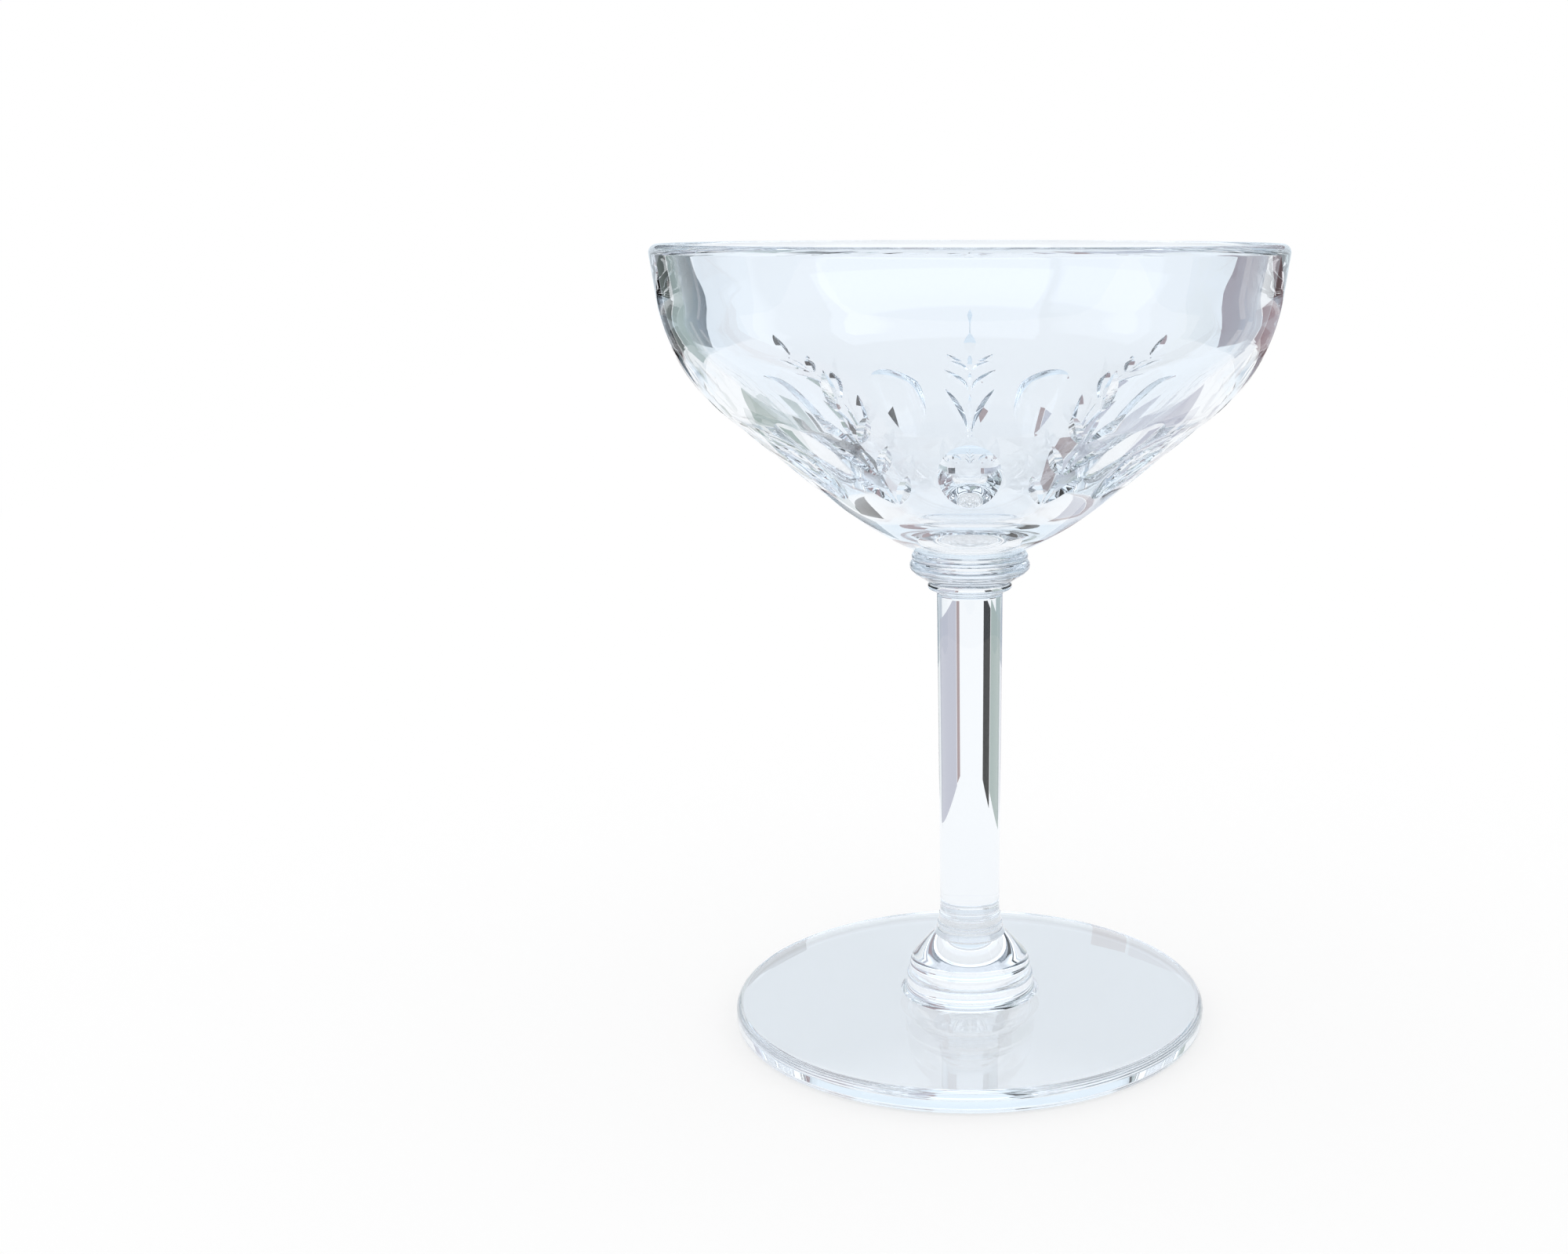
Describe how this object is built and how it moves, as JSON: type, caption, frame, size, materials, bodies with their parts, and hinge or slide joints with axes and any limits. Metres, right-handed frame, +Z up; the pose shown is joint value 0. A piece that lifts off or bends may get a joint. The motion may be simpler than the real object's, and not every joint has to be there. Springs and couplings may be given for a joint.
{
  "type": "stemmed cocktail glass",
  "caption": "Clear cut-crystal cocktail glass: a wide, shallow bowl cut with ovals and leaf sprays, on a slim stem with a ringed merese, a bell knop and a round flat foot.",
  "frame": {"origin": "middle of the foot's flat underside, on the surface that the glass stands on", "axes": "+Z up along the stem's axis, -Y towards the viewer, where one oval faces; +X to the viewer's right"},
  "size_m": [0.093, 0.093, 0.12],
  "materials": {
    "crystal": "clear, fire-polished, with polished wheel cuts"
  },
  "bodies": {
    "root": {"bowl": "crystal", "merese": "crystal", "collar": "crystal", "stem": "crystal", "base_knop": "crystal", "foot_wafer": "crystal", "foot": "crystal"}
  },
  "joints": []
}
